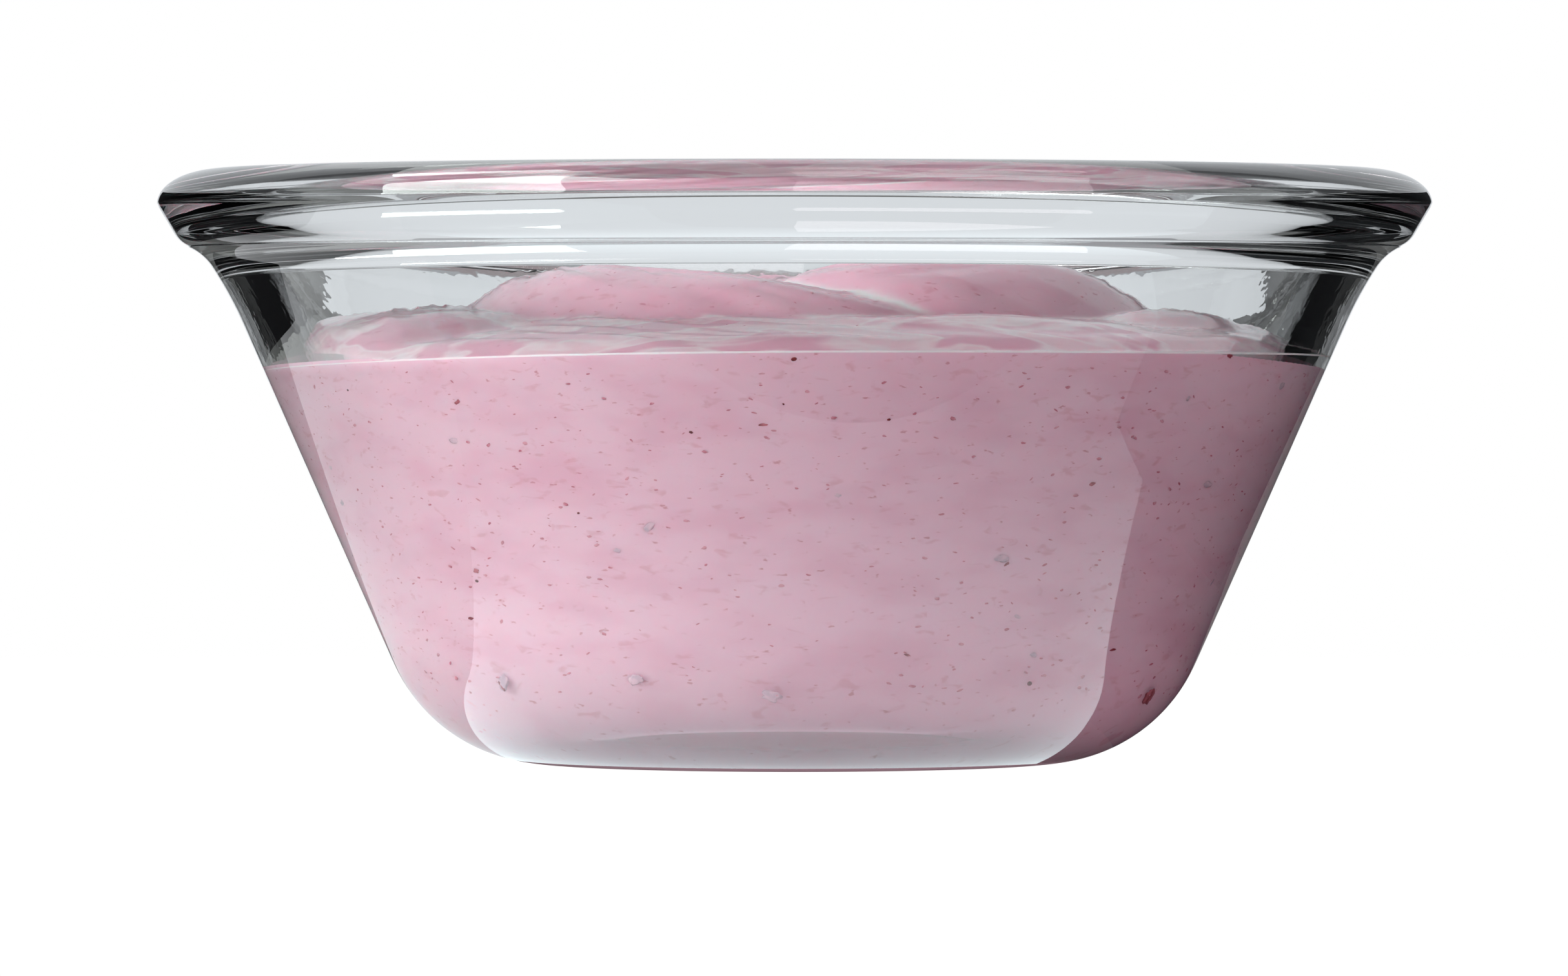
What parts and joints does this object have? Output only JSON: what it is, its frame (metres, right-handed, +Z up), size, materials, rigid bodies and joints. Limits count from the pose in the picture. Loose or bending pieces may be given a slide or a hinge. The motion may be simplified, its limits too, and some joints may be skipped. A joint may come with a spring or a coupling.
{
  "type": "glass bowl of berry yogurt",
  "caption": "Clear pressed-glass bowl with flared sides and a heavy rolled rim, filled with swirled pink berry yogurt.",
  "frame": {"origin": "centre of the base ring that the bowl stands on", "axes": "+Z up along the bowl's axis; -Y is the side that faces the picture's camera and +X its right"},
  "size_m": [0.11, 0.11, 0.0512],
  "materials": {
    "clear_glass": "clear pressed glass, fire-polished, with faint mould ripple",
    "berry_yogurt": "wet glossy pink yogurt with fine red fruit flecks"
  },
  "bodies": {
    "root": {"glass_bowl": "clear_glass", "yogurt": "berry_yogurt"}
  },
  "joints": []
}
